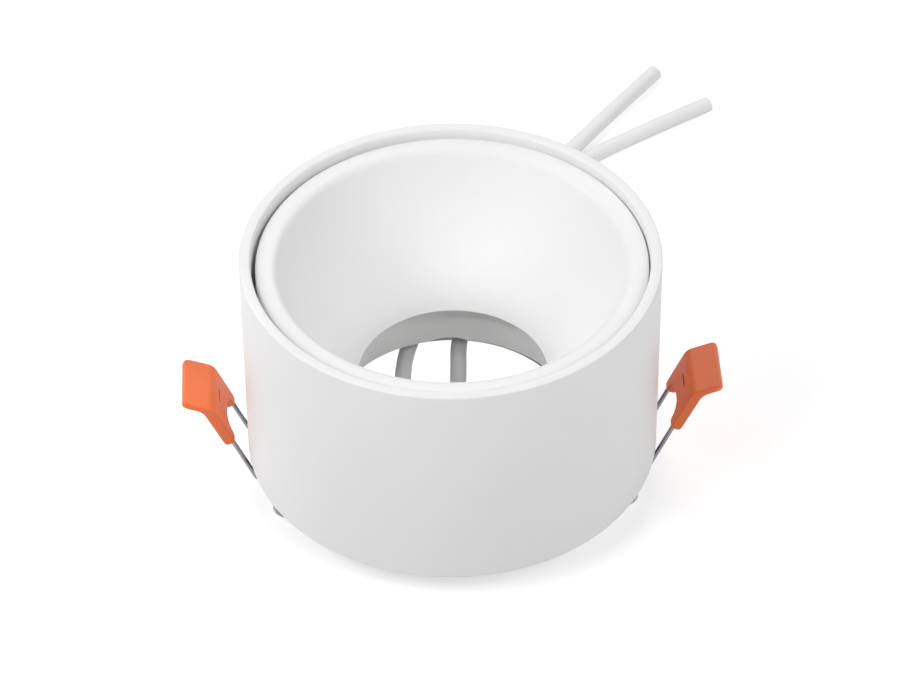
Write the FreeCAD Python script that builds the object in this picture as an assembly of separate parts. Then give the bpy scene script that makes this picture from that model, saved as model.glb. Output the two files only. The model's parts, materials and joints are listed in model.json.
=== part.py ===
import FreeCAD, Part
import math
import os

from FreeCAD import Vector

# Recessed spotlight housing for a 50 mm reflector lamp, in millimetres.
# It stands on the feet of its clip brackets, with its light opening up (+Z) and its clips on the X axis.
# The origin is on the floor under the centre of the housing.

# Housing: one round tube with lugs and pads inside
HOUSING_ROOM = 13.44
HOUSING_HEIGHT = 50.0
HOUSING_WALL = 2.4
RIM_OUTER_EASE = 0.3
RIM_INNER_EASE = 0.5
BASE_EASE = 0.3
LUG_COUNT = 3
LUG_FIRST_ANGLE = 90.0
LUG_HALF = 4.5
LUG_THICK = 3.0
LUG_TOP = 32.2
LUG_CUP_GAP = 0.7
WALL_MERGE = 0.4

# Reflector cup: rim, cone and lamp chamber, turned from one piece
CUP_RIM_GAP = 0.6
CUP_RIM_WIDTH = 4.2
CUP_RIM_SINK = 1.8
CUP_RIM_THICK = 1.6
CUP_RIM_ROUND = 1.8
CUP_RIM_EDGE_ROUND = 0.4
CUP_COLLAR_HEIGHT = 9.0
CUP_WALL = 1.6
CUP_EASE = 0.2
CUP_HOLLOW_ROUND = 0.5
CUP_WAIST_ROUND = 1.0
CUP_SIDE_PLAY = 0.3
SEAT_LEDGE = 5.23
APERTURE_HEIGHT = 17.5
APERTURE_LAND = 0.3
SEAT_THICK = 1.4
LAMP_R = 25.3
LAMP_CLEARANCE = 0.76
CHAMBER_SHOULDER_ROUND = 0.8
CHAMBER_FOOT = 3.3
RELIEF_HALF = 4.6
RELIEF_HEIGHT = 0.9
BOSS_R = 3.0
BOSS_COLLAR_GAP = 0.9

# Screws, size 3, with a pan head and a cross recess
SCREW_R = 1.5
SCREW_PLAY = 0.45
SCREW_HEAD_R = 2.8
SCREW_HEAD_HEIGHT = 1.9
SCREW_HEAD_ROUND = 0.9
RECESS_ARM = 1.6
RECESS_WIDTH = 0.75
RECESS_DEPTH = 1.1
CUP_SCREW_LENGTH = 9.0
BRACKET_SCREW_LENGTH = 6.0
SCREW_TIP_ROOM = 0.6
SCREW_TIP_EASE = 0.3

# Clip brackets: folded sheet with two round ears that carry the hinge pin
SHEET = 1.2
BRACKET_HALF = 17.3
BRACKET_WALL_ROOM = 2.23
FOLD_R = 0.8
EAR_DEPTH = 4.8
EAR_WALL = 1.5
EAR_TOP_GAP = 0.2
WEB_LIFT = 0.4
WEB_HEIGHT = 14.1
PIN_BEYOND_WEB = 0.2
PAD_HALF = 11.0
PAD_LIFT = 2.5
BRACKET_SCREW_Y = 6.5
BRACKET_SCREW_LIFT = 8.5

# Hinge pins, riveted over at both ends
PIN_R = 1.8
PIN_HEAD_R = 2.7
PIN_HEAD_HEIGHT = 1.0
PIN_HEAD_ROUND = 0.5

# Clip springs: one bent wire each, with a coil on the pin below each arm
WIRE_R = 0.5
COIL_PIN_GAP = 0.3
COIL_TURNS = 2.5
ARCS_PER_TURN = 2
COIL_PITCH = 1.2
TAIL_BEND_R = 1.0
TAIL_EAR_GAP = 0.8
ARM_Y = 5.9
ARM_ANGLE = 66.5
ARM_HOUSING_GAP = 0.65
ARM_REACH = 19.4
ARM_BEND_R = 2.0
LOOP_BEND_R = 2.5

# Grips: a soft moulded foot on the closed end of each spring
GRIP_HALF = 7.15
GRIP_COVER = 0.3
GRIP_THICK = 2.3
GRIP_TAPER = 0.9
GRIP_START = 12.2
GRIP_INNER_LENGTH = 11.0
FOOT_ANGLE = 20.0
FOOT_LENGTH = 6.7
FOOT_THICK = 1.5
GRIP_TIP_ROUND = 1.0
GRIP_BEND_ROUND = 2.5
GRIP_HOLLOW_ROUND = 3.0
FOOT_END_ROUND = 0.5
FOOT_CORNER_ROUND = 1.2
GRIP_EDGE_ROUND = 0.4
NOTCH_HALF = 4.8
NOTCH_TOP_HALF = 3.4
NOTCH_DEPTH = 4.2
NOTCH_ROUND = 2.5
LEG_END_ROUND = 1.3
SLIT_HALF = 2.3
SLIT_WIDTH = 0.4
SLIT_DEPTH = 0.9
SLIT_PAST_LOOP = 0.7

# Lamp holder: two ceramic halves riveted together, lying loose under the cup
HOLDER_X = -4.0
HOLDER_BACK_Y = -1.0
HOLDER_WIDTH = 26.0
HOLDER_HEIGHT = 15.0
HOLDER_CORNER = 4.0
HOLDER_BODY_LENGTH = 10.0
HOLDER_COVER_LENGTH = 4.0
PIN_SPACING = 10.0
KEYHOLE_R = 2.65
KEYHOLE_SLOT_HALF = 1.3
KEYHOLE_SLOT_LENGTH = 4.6
KEYHOLE_DROP = 1.4
POCKET_WIDTH = 6.8
POCKET_FACE_ROOM = 2.8
POCKET_FRONT = 2.2
RIVET_R = 1.4
RIVET_BORE_R = 0.8
RIVET_HEAD_R = 2.2
RIVET_HEAD_HEIGHT = 0.5
RIVET_EDGE_ROUND = 0.2
RIVET_FACE_ROOM = 2.6
CONTACT_SHEET = 0.5
CONTACT_BEND_R = 0.1
CONTACT_WIDTH = 5.0
CONTACT_JAW = 3.0
CONTACT_LENGTH = 5.5
LEAD_SOCKET = 2.5

# Leads: sleeved single wires, each cut off square at its free end
LEAD_R = 1.8
LEAD_FLOOR_GAP = 0.1
LEAD_BEND_SHARE = 0.45

# Modelling: how far a cut runs past the face it opens, and how close counts as on a face
CUT_PAST = 1.0
ON_FACE = 1e-6

# Sizes that follow from the ones above
CHAMBER_R = LAMP_R+LAMP_CLEARANCE
INNER_R = CHAMBER_R+CUP_WALL+HOUSING_ROOM
HOUSING_R = INNER_R+HOUSING_WALL
EAR_R = PIN_R+EAR_WALL
PIN_Z = EAR_R
BASE_Z = PIN_Z+EAR_R+EAR_TOP_GAP
TOP_Z = BASE_Z+HOUSING_HEIGHT
CUP_TOP = TOP_Z-CUP_RIM_SINK
CUP_RIM_R = INNER_R-CUP_RIM_GAP
CUP_RIM_INNER_R = CUP_RIM_R-CUP_RIM_WIDTH
BOSS_CIRCLE_R = CUP_RIM_R-CUP_WALL-BOSS_COLLAR_GAP-BOSS_R
APERTURE_R = LAMP_R-SEAT_LEDGE
APERTURE_Z = BASE_Z+APERTURE_HEIGHT
CONE_SLOPE = (CUP_RIM_INNER_R-APERTURE_R)/(CUP_TOP-APERTURE_Z)
CONE_WALL = CUP_WALL*math.hypot(1, CONE_SLOPE)
SEAT_Z = APERTURE_Z-SEAT_THICK
CHAMBER_Z = BASE_Z+CHAMBER_FOOT
LUG_Z = BASE_Z+LUG_TOP
WEB_X = math.sqrt(INNER_R**2-BRACKET_HALF**2)-BRACKET_WALL_ROOM
WEB_Z = BASE_Z+WEB_LIFT
PIN_X = WEB_X+PIN_BEYOND_WEB
BRACKET_SCREW_Z = BASE_Z+BRACKET_SCREW_LIFT
COIL_R = PIN_R+COIL_PIN_GAP+WIRE_R
LEAD_Z = LEAD_R+LEAD_FLOOR_GAP
LEAD_UNDER_WALL_Z = BASE_Z-LEAD_R
HOLDER_Z = HOLDER_HEIGHT/2
RIVET_Z = HOLDER_Z-RIVET_FACE_ROOM
POCKET_HEIGHT = HOLDER_HEIGHT-2*POCKET_FACE_ROOM
COVER_Y = HOLDER_BACK_Y-HOLDER_COVER_LENGTH
HOLDER_FRONT_Y = COVER_Y-HOLDER_BODY_LENGTH
LEAD_START_Y = HOLDER_BACK_Y-LEAD_SOCKET
LUG_ANGLES = [LUG_FIRST_ANGLE+i*360.0/LUG_COUNT for i in range(LUG_COUNT)]
HOLDER_SIDES = (-PIN_SPACING/2, PIN_SPACING/2)

# Routes of the leads: out of the lamp holder, under the housing's wall and down to the floor
LEAD_A_ROUTE = [
    (HOLDER_X-PIN_SPACING/2, LEAD_START_Y, HOLDER_Z),
    (HOLDER_X-PIN_SPACING/2, 7.5, HOLDER_Z),
    (-10.4, 19.0, LEAD_UNDER_WALL_Z),
    (-8.0, 33.0, LEAD_UNDER_WALL_Z),
    (1.5, 54.0, LEAD_UNDER_WALL_Z),
    (16.8, 79.6, LEAD_Z),
    (34.6, 104.3, LEAD_Z),
    (53.8, 128.8, LEAD_Z),
]
LEAD_B_ROUTE = [
    (HOLDER_X+PIN_SPACING/2, LEAD_START_Y, HOLDER_Z),
    (HOLDER_X+PIN_SPACING/2, 7.5, HOLDER_Z),
    (2.2, 19.0, LEAD_UNDER_WALL_Z),
    (2.7, 34.0, LEAD_UNDER_WALL_Z),
    (9.6, 54.5, LEAD_UNDER_WALL_Z),
    (21.1, 75.6, LEAD_Z),
    (31.8, 94.6, LEAD_Z),
    (47.8, 105.6, LEAD_Z),
    (65.4, 116.1, LEAD_Z),
]


def lathe_plane(u, v):
    """A point of a section that is turned about Z: u is the radius, v the height."""
    return Vector(u, 0, v)


def outline(corners, place):
    """Closed wire through corners (u, v, radius), each corner rounded to its radius."""
    spans = []
    count = len(corners)
    for i, (u, v, radius) in enumerate(corners):
        here = Vector(u, v, 0)
        back = (Vector(*corners[i-1][:2], 0)-here).normalize()
        ahead = (Vector(*corners[(i+1) % count][:2], 0)-here).normalize()
        if radius <= 0:
            spans.append((here, None, here))
            continue
        half = back.getAngle(ahead)/2
        reach = radius/math.tan(half)
        middle = (back+ahead).normalize()
        mid = here+middle*(radius/math.sin(half)-radius)
        spans.append((here+back*reach, mid, here+ahead*reach))
    edges = []
    for i, (start, mid, end) in enumerate(spans):
        if mid is not None:
            edges.append(Part.Arc(*(place(p.x, p.y) for p in (start, mid, end))).toShape())
        following = spans[(i+1) % count][0]
        if (following-end).Length > ON_FACE:
            edges.append(Part.LineSegment(place(end.x, end.y), place(following.x, following.y)).toShape())
    return Part.Wire(edges)


def turned(corners):
    """Solid of revolution about Z from a section of (radius, height, corner radius)."""
    return Part.Face(outline(corners, lathe_plane)).revolve(Vector(0, 0, 0), Vector(0, 0, 1), 360)


def around(shape, angle):
    """Copy of a shape turned about the housing's axis."""
    copy = shape.copy()
    copy.rotate(Vector(0, 0, 0), Vector(0, 0, 1), angle)
    return copy


def moved(shape, x, y, z):
    """Copy of a shape carried by a step."""
    copy = shape.copy()
    copy.translate(Vector(x, y, z))
    return copy


def box(low, high):
    """Block between two corners."""
    size = [b-a for a, b in zip(low, high)]
    return Part.makeBox(*size, Vector(*low))


def joined(shapes):
    """One solid out of shapes that touch or overlap."""
    whole = shapes[0].fuse(shapes[1:])
    return whole.removeSplitter()


def make_screw(length):
    """Pan-head screw on the Z axis: the head's seat at z = 0, the shank going up."""
    body = turned([
        (0, -SCREW_HEAD_HEIGHT, 0),
        (SCREW_HEAD_R, -SCREW_HEAD_HEIGHT, SCREW_HEAD_ROUND),
        (SCREW_HEAD_R, 0, 0),
        (SCREW_R, 0, 0),
        (SCREW_R, length, SCREW_TIP_EASE),
        (0, length, 0),
    ])
    floor = -SCREW_HEAD_HEIGHT+RECESS_DEPTH
    arms = [
        box((-a, -b, -SCREW_HEAD_HEIGHT-CUT_PAST), (a, b, floor))
        for a, b in ((RECESS_ARM, RECESS_WIDTH/2), (RECESS_WIDTH/2, RECESS_ARM))
    ]
    return body.cut(arms)


def cone_outside(z):
    """Radius of the cup's outer face at a height of its cone."""
    return APERTURE_R+CONE_WALL+CONE_SLOPE*(z-APERTURE_Z)


def make_housing():
    """Round tube with three lugs for the cup and a flat pad for each clip bracket."""
    tube = turned([
        (INNER_R, BASE_Z, BASE_EASE),
        (HOUSING_R, BASE_Z, BASE_EASE),
        (HOUSING_R, TOP_Z, RIM_OUTER_EASE),
        (INNER_R, TOP_Z, RIM_INNER_EASE),
    ])
    inside = Part.makeCylinder(INNER_R+WALL_MERGE, HOUSING_HEIGHT, Vector(0, 0, BASE_Z))
    growths = []
    lug_low = LUG_Z-LUG_THICK
    cup_room = turned([
        (0, lug_low, 0),
        (cone_outside(lug_low)+LUG_CUP_GAP, lug_low, 0),
        (cone_outside(LUG_Z)+LUG_CUP_GAP, LUG_Z, 0),
        (0, LUG_Z, 0),
    ])
    for angle in LUG_ANGLES:
        root = box((BOSS_CIRCLE_R, -LUG_HALF, lug_low), (HOUSING_R, LUG_HALF, LUG_Z))
        tip = Part.makeCylinder(LUG_HALF, LUG_THICK, Vector(BOSS_CIRCLE_R, 0, lug_low))
        growths.append(around(root.fuse(tip).common(inside).cut(cup_room), angle))
    pad = box((WEB_X, -PAD_HALF, BASE_Z+PAD_LIFT), (HOUSING_R, PAD_HALF, WEB_Z+WEB_HEIGHT))
    pad = pad.common(inside)
    growths += [pad, around(pad, 180)]
    housing = joined([tube]+growths)
    holes = []
    for angle in LUG_ANGLES:
        start = Vector(BOSS_CIRCLE_R, 0, lug_low-CUT_PAST)
        hole = Part.makeCylinder(SCREW_R+SCREW_PLAY, LUG_THICK+2*CUT_PAST, start)
        holes.append(around(hole, angle))
    depth = BRACKET_SCREW_LENGTH-SHEET+SCREW_TIP_ROOM
    for y in (-BRACKET_SCREW_Y, BRACKET_SCREW_Y):
        start = Vector(WEB_X-CUT_PAST, y, BRACKET_SCREW_Z)
        hole = Part.makeCylinder(SCREW_R, depth+CUT_PAST, start, Vector(1, 0, 0))
        holes += [hole, around(hole, 180)]
    return housing.cut(holes)


def make_cup():
    """Rim, cone, lamp seat and lamp chamber in one wall, with a boss over each lug."""
    under_rim = CUP_TOP-CUP_RIM_THICK
    collar_foot = CUP_TOP-CUP_COLLAR_HEIGHT
    chamber_out = CHAMBER_R+CUP_WALL
    cup = turned([
        (APERTURE_R, APERTURE_Z-APERTURE_LAND, 0),
        (APERTURE_R, APERTURE_Z, 0),
        (CUP_RIM_INNER_R, CUP_TOP, CUP_RIM_ROUND),
        (CUP_RIM_R, CUP_TOP, CUP_RIM_EDGE_ROUND),
        (CUP_RIM_R, collar_foot, CUP_EASE),
        (CUP_RIM_R-CUP_WALL, collar_foot, CUP_EASE),
        (CUP_RIM_R-CUP_WALL, under_rim, CUP_HOLLOW_ROUND),
        (cone_outside(under_rim), under_rim, CUP_HOLLOW_ROUND),
        (APERTURE_R+CONE_WALL, APERTURE_Z, CUP_WAIST_ROUND),
        (chamber_out, APERTURE_Z, CHAMBER_SHOULDER_ROUND),
        (chamber_out, CHAMBER_Z, CUP_EASE),
        (CHAMBER_R, CHAMBER_Z, CUP_EASE),
        (CHAMBER_R, SEAT_Z, CUP_HOLLOW_ROUND),
        (APERTURE_R+SEAT_THICK-APERTURE_LAND, SEAT_Z, 0),
    ])
    inside_cone = turned([
        (0, APERTURE_Z, 0),
        (APERTURE_R+CONE_WALL/2, APERTURE_Z, 0),
        (CUP_RIM_INNER_R+CONE_WALL/2, CUP_TOP, 0),
        (0, CUP_TOP, 0),
    ])
    bosses = []
    pilots = []
    pilot_depth = CUP_SCREW_LENGTH-LUG_THICK+SCREW_TIP_ROOM
    boss_height = under_rim+CUP_RIM_THICK/2-LUG_Z
    for angle in LUG_ANGLES:
        boss = Part.makeCylinder(BOSS_R, boss_height, Vector(BOSS_CIRCLE_R, 0, LUG_Z))
        pilot = Part.makeCylinder(SCREW_R, pilot_depth, Vector(BOSS_CIRCLE_R, 0, LUG_Z))
        bosses.append(around(boss.cut(inside_cone), angle))
        pilots.append(around(pilot, angle))
    relief_r = (RELIEF_HALF**2+RELIEF_HEIGHT**2)/(2*RELIEF_HEIGHT)
    relief_start = Vector(0, CHAMBER_R-2*CUP_WALL, CHAMBER_Z+RELIEF_HEIGHT-relief_r)
    relief = Part.makeCylinder(relief_r, 4*CUP_WALL, relief_start, Vector(0, 1, 0))
    cup = joined([cup]+bosses).cut(pilots+[relief])
    return moved(cup, CUP_SIDE_PLAY, 0, 0)


def make_cup_screws():
    """One screw up through each lug into its boss."""
    screw = moved(make_screw(CUP_SCREW_LENGTH), BOSS_CIRCLE_R, 0, LUG_Z-LUG_THICK)
    return Part.makeCompound([moved(around(screw, angle), CUP_SIDE_PLAY, 0, 0) for angle in LUG_ANGLES])


def make_bracket():
    """Channel of folded sheet whose two ears reach down under the housing to the pin."""
    outer = FOLD_R+SHEET
    ear_x = WEB_X-EAR_DEPTH
    plan = [
        (WEB_X, -BRACKET_HALF, outer),
        (WEB_X, BRACKET_HALF, outer),
        (ear_x, BRACKET_HALF, 0),
        (ear_x, BRACKET_HALF-SHEET, 0),
        (WEB_X-SHEET, BRACKET_HALF-SHEET, FOLD_R),
        (WEB_X-SHEET, SHEET-BRACKET_HALF, FOLD_R),
        (ear_x, SHEET-BRACKET_HALF, 0),
        (ear_x, -BRACKET_HALF, 0),
    ]
    channel = Part.Face(outline(plan, lambda u, v: Vector(u, v, WEB_Z))).extrude(Vector(0, 0, WEB_HEIGHT))
    shoulder = Vector(ear_x, 0, WEB_Z+FOLD_R)
    centre = Vector(PIN_X, 0, PIN_Z)
    away = shoulder-centre
    tangent = math.atan2(away.z, away.x)+math.acos(EAR_R/away.Length)

    def on_ear(angle):
        return centre+Vector(EAR_R*math.cos(angle), 0, EAR_R*math.sin(angle))

    lowest = on_ear(tangent)
    top = on_ear(math.pi/2)
    fold_line = WEB_X-outer
    upper = [
        Vector(fold_line, 0, WEB_Z+FOLD_R),
        Vector(fold_line, 0, WEB_Z),
        Vector(WEB_X, 0, WEB_Z),
    ]
    points = [lowest, shoulder]+upper+[top]
    edges = [Part.LineSegment(a, b).toShape() for a, b in zip(points, points[1:])]
    edges.append(Part.Arc(top, on_ear(-math.pi/4), lowest).toShape())
    ear = Part.Face(Part.Wire(edges)).extrude(Vector(0, SHEET, 0))
    ears = [moved(ear, 0, BRACKET_HALF-SHEET, 0), moved(ear, 0, -BRACKET_HALF, 0)]
    bracket = joined([channel]+ears)
    pin_hole = Part.makeCylinder(PIN_R, 2*BRACKET_HALF, Vector(PIN_X, -BRACKET_HALF, PIN_Z), Vector(0, 1, 0))
    screw_holes = [
        Part.makeCylinder(SCREW_R, 3*SHEET, Vector(WEB_X-2*SHEET, y, BRACKET_SCREW_Z), Vector(1, 0, 0))
        for y in (-BRACKET_SCREW_Y, BRACKET_SCREW_Y)
    ]
    return bracket.cut([pin_hole]+screw_holes)


def make_bracket_screws():
    """Two screws through each bracket into its pad."""
    screw = make_screw(BRACKET_SCREW_LENGTH)
    screw.rotate(Vector(0, 0, 0), Vector(0, 1, 0), 90)
    pair = [moved(screw, WEB_X-SHEET, y, BRACKET_SCREW_Z) for y in (-BRACKET_SCREW_Y, BRACKET_SCREW_Y)]
    return Part.makeCompound(pair+[around(one, 180) for one in pair])


def make_pin():
    """Hinge pin with a riveted head outside each ear."""
    end = BRACKET_HALF+PIN_HEAD_HEIGHT
    pin = turned([
        (0, -end, 0),
        (PIN_HEAD_R, -end, PIN_HEAD_ROUND),
        (PIN_HEAD_R, -BRACKET_HALF, 0),
        (PIN_R, -BRACKET_HALF, 0),
        (PIN_R, BRACKET_HALF, 0),
        (PIN_HEAD_R, BRACKET_HALF, 0),
        (PIN_HEAD_R, end, PIN_HEAD_ROUND),
        (0, end, 0),
    ])
    pin.rotate(Vector(0, 0, 0), Vector(1, 0, 0), 90)
    return moved(pin, PIN_X, 0, PIN_Z)


def arm_line():
    """Corner under the arm, and the arm's direction up along the housing."""
    slant = math.radians(ARM_ANGLE)
    edge_x = math.sqrt(HOUSING_R**2-ARM_Y**2)
    base_x = edge_x+WIRE_R/math.sin(slant)+ARM_HOUSING_GAP
    low_z = PIN_Z-COIL_R
    corner = Vector(base_x-(BASE_Z-low_z)/math.tan(slant), 0, low_z)
    return corner, Vector(math.cos(slant), 0, math.sin(slant))


def make_spring():
    """Bent wire: tail, coil on the pin, arm and closed end, the same on both sides."""
    coil_end = ARM_Y+COIL_TURNS*COIL_PITCH
    tail_end = BRACKET_HALF-SHEET-TAIL_EAR_GAP
    top_z = PIN_Z+COIL_R
    tail = Vector(PIN_X+TAIL_BEND_R, tail_end, top_z)
    tail_stop = Vector(PIN_X+TAIL_BEND_R, coil_end+TAIL_BEND_R, top_z)
    coil_start = Vector(PIN_X, coil_end, top_z)
    lift = TAIL_BEND_R*(1-math.sqrt(0.5))
    tail_mid = Vector(PIN_X+TAIL_BEND_R-lift, coil_end+lift, top_z)

    def on_coil(share):
        angle = math.pi/2+2*math.pi*COIL_TURNS*share
        along = coil_end+(ARM_Y-coil_end)*share
        return Vector(PIN_X+COIL_R*math.cos(angle), along, PIN_Z+COIL_R*math.sin(angle))

    edges = [Part.LineSegment(tail, tail_stop).toShape(), Part.Arc(tail_stop, tail_mid, coil_start).toShape()]
    arcs = int(round(COIL_TURNS*ARCS_PER_TURN))
    for i in range(arcs):
        edges.append(Part.Arc(on_coil(i/arcs), on_coil((i+0.5)/arcs), on_coil((i+1)/arcs)).toShape())
    corner, up = arm_line()
    side = Vector(0, ARM_Y, 0)
    slant = math.radians(ARM_ANGLE)
    reach = ARM_BEND_R*math.tan(slant/2)
    bend_start = corner+side-Vector(reach, 0, 0)
    bend_end = corner+side+up*reach
    bend_mid = bend_start+Vector(ARM_BEND_R*math.sin(slant/2), 0, ARM_BEND_R*(1-math.cos(slant/2)))
    loop = corner+side+up*ARM_REACH
    loop_start = loop-up*LOOP_BEND_R
    loop_end = loop-Vector(0, LOOP_BEND_R, 0)
    loop_mid = loop_start-Vector(0, LOOP_BEND_R, 0)+(up+Vector(0, 1, 0)).normalize()*LOOP_BEND_R
    edges.append(Part.LineSegment(on_coil(1), bend_start).toShape())
    edges.append(Part.Arc(bend_start, bend_mid, bend_end).toShape())
    edges.append(Part.LineSegment(bend_end, loop_start).toShape())
    edges.append(Part.Arc(loop_start, loop_mid, loop_end).toShape())
    edges.append(Part.LineSegment(loop_end, Vector(loop_end.x, 0, loop_end.z)).toShape())
    section = Part.Wire([Part.makeCircle(WIRE_R, tail, Vector(0, 1, 0))])
    half = Part.Wire(edges).makePipeShell([section], True, False, 0)
    return joined([half, half.mirror(Vector(0, 0, 0), Vector(0, 1, 0))])


def on_side_face(edge):
    """Whether an edge lies in one of the grip's two flat side faces."""
    heights = [abs(vertex.Y) for vertex in edge.Vertexes]+[abs(edge.CenterOfMass.y)]
    return all(abs(height-GRIP_HALF) < ON_FACE for height in heights)


def make_grip(spring):
    """Soft foot on the spring's closed end: two round-ended legs, a notch and a turned-out foot."""
    corner, up = arm_line()
    slant = math.radians(ARM_ANGLE)
    inward = Vector(-math.sin(slant), 0, math.cos(slant))
    foot = Vector(math.cos(math.radians(FOOT_ANGLE)), 0, math.sin(math.radians(FOOT_ANGLE)))
    foot_down = Vector(foot.z, 0, -foot.x)
    inner_tip = corner+up*GRIP_START+inward*(WIRE_R+GRIP_COVER)
    bend = inner_tip+up*GRIP_INNER_LENGTH
    foot_top = bend+foot*FOOT_LENGTH
    foot_low = foot_top+foot_down*FOOT_THICK
    outer_tip = inner_tip-inward*GRIP_THICK
    taper = math.radians(GRIP_TAPER)
    outer_up = Vector(math.cos(slant-taper), 0, math.sin(slant-taper))
    # the outer face and the underside of the foot meet in the hollow
    across = outer_up.x*foot.z-outer_up.z*foot.x
    gap = foot_low-outer_tip
    hollow = outer_tip+outer_up*((gap.x*foot.z-gap.z*foot.x)/across)
    section = [
        (inner_tip.x, inner_tip.z, GRIP_TIP_ROUND),
        (bend.x, bend.z, GRIP_BEND_ROUND),
        (foot_top.x, foot_top.z, FOOT_END_ROUND),
        (foot_low.x, foot_low.z, FOOT_END_ROUND),
        (hollow.x, hollow.z, GRIP_HOLLOW_ROUND),
        (outer_tip.x, outer_tip.z, GRIP_TIP_ROUND),
    ]
    face = Part.Face(outline(section, lambda u, v: Vector(u, -GRIP_HALF, v)))
    grip = face.extrude(Vector(0, 2*GRIP_HALF, 0))
    plan = [
        (corner.x, -GRIP_HALF, 0),
        (foot_low.x, -GRIP_HALF, FOOT_CORNER_ROUND),
        (foot_low.x, GRIP_HALF, FOOT_CORNER_ROUND),
        (corner.x, GRIP_HALF, 0),
    ]
    grip = grip.common(Part.Face(outline(plan, lambda u, v: Vector(u, v, 0))).extrude(Vector(0, 0, TOP_Z)))
    grip = grip.makeFillet(GRIP_EDGE_ROUND, [edge for edge in grip.Edges if on_side_face(edge)])

    def across_grip(u, v):
        return corner+inward*(2*GRIP_THICK)+Vector(0, u, 0)+up*(GRIP_START+v)

    front = [
        (-GRIP_HALF, 0, LEG_END_ROUND),
        (-NOTCH_HALF, 0, LEG_END_ROUND),
        (-NOTCH_TOP_HALF, NOTCH_DEPTH, NOTCH_ROUND),
        (NOTCH_TOP_HALF, NOTCH_DEPTH, NOTCH_ROUND),
        (NOTCH_HALF, 0, LEG_END_ROUND),
        (GRIP_HALF, 0, LEG_END_ROUND),
        (GRIP_HALF, 2*GRIP_INNER_LENGTH, 0),
        (-GRIP_HALF, 2*GRIP_INNER_LENGTH, 0),
    ]
    grip = grip.common(Part.Face(outline(front, across_grip)).extrude(inward*(-8*GRIP_THICK)))
    slit_at = corner+up*(ARM_REACH+WIRE_R+SLIT_PAST_LOOP)+inward*(WIRE_R+GRIP_COVER+SLIT_DEPTH)

    def across_slit(u, v):
        return slit_at+Vector(0, u, 0)+up*v

    slit_corners = [
        (-SLIT_HALF, -SLIT_WIDTH/2, 0),
        (SLIT_HALF, -SLIT_WIDTH/2, 0),
        (SLIT_HALF, SLIT_WIDTH/2, 0),
        (-SLIT_HALF, SLIT_WIDTH/2, 0),
    ]
    slit = Part.Face(outline(slit_corners, across_slit)).extrude(inward*(-2*SLIT_DEPTH))
    return grip.cut([slit]).cut([spring])


def make_holder_half(low_y, high_y):
    """Rounded ceramic block of the lamp holder between two faces."""
    half = HOLDER_WIDTH/2
    corners = [
        (HOLDER_X-half, 0, HOLDER_CORNER),
        (HOLDER_X+half, 0, HOLDER_CORNER),
        (HOLDER_X+half, HOLDER_HEIGHT, HOLDER_CORNER),
        (HOLDER_X-half, HOLDER_HEIGHT, HOLDER_CORNER),
    ]
    return Part.Face(outline(corners, lambda u, v: Vector(u, low_y, v))).extrude(Vector(0, high_y-low_y, 0))


def rivet_holes():
    """Bores for both rivets through the whole lamp holder."""
    length = HOLDER_BODY_LENGTH+HOLDER_COVER_LENGTH
    return [
        Part.makeCylinder(RIVET_R, length, Vector(HOLDER_X, HOLDER_FRONT_Y, HOLDER_Z+z), Vector(0, 1, 0))
        for z in (-RIVET_Z, RIVET_Z)
    ]


def make_holder_body():
    """Front half with two keyholes for the lamp's pins and a pocket behind each."""
    body = make_holder_half(HOLDER_FRONT_Y, COVER_Y)
    cuts = rivet_holes()
    for side in HOLDER_SIDES:
        x = HOLDER_X+side
        cuts.append(box(
            (x-POCKET_WIDTH/2, HOLDER_FRONT_Y+POCKET_FRONT, HOLDER_Z-POCKET_HEIGHT/2),
            (x+POCKET_WIDTH/2, COVER_Y, HOLDER_Z+POCKET_HEIGHT/2)))
        low = HOLDER_Z-KEYHOLE_DROP
        front = HOLDER_FRONT_Y-CUT_PAST
        back = HOLDER_FRONT_Y+POCKET_FRONT+CUT_PAST
        cuts.append(Part.makeCylinder(KEYHOLE_R, back-front, Vector(x, front, low), Vector(0, 1, 0)))
        slot_top = low+KEYHOLE_SLOT_LENGTH
        cuts.append(box((x-KEYHOLE_SLOT_HALF, front, low), (x+KEYHOLE_SLOT_HALF, back, slot_top)))
    return body.cut(cuts)


def make_holder_cover():
    """Rear half with a socket for each lead."""
    cover = make_holder_half(COVER_Y, HOLDER_BACK_Y)
    cuts = rivet_holes()
    for side in HOLDER_SIDES:
        start = Vector(HOLDER_X+side, LEAD_START_Y, HOLDER_Z)
        cuts.append(Part.makeCylinder(LEAD_R, LEAD_SOCKET, start, Vector(0, 1, 0)))
    return cover.cut(cuts)


def make_rivets():
    """Two hollow rivets with a rolled head at each end."""
    length = HOLDER_BODY_LENGTH+HOLDER_COVER_LENGTH
    rivet = turned([
        (RIVET_BORE_R, -RIVET_HEAD_HEIGHT, RIVET_EDGE_ROUND),
        (RIVET_HEAD_R, -RIVET_HEAD_HEIGHT, RIVET_EDGE_ROUND),
        (RIVET_HEAD_R, 0, 0),
        (RIVET_R, 0, 0),
        (RIVET_R, length, 0),
        (RIVET_HEAD_R, length, 0),
        (RIVET_HEAD_R, length+RIVET_HEAD_HEIGHT, RIVET_EDGE_ROUND),
        (RIVET_BORE_R, length+RIVET_HEAD_HEIGHT, RIVET_EDGE_ROUND),
    ])
    rivet.rotate(Vector(0, 0, 0), Vector(1, 0, 0), -90)
    places = [(HOLDER_X, HOLDER_FRONT_Y, HOLDER_Z+z) for z in (-RIVET_Z, RIVET_Z)]
    return Part.makeCompound([moved(rivet, *place) for place in places])


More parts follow.
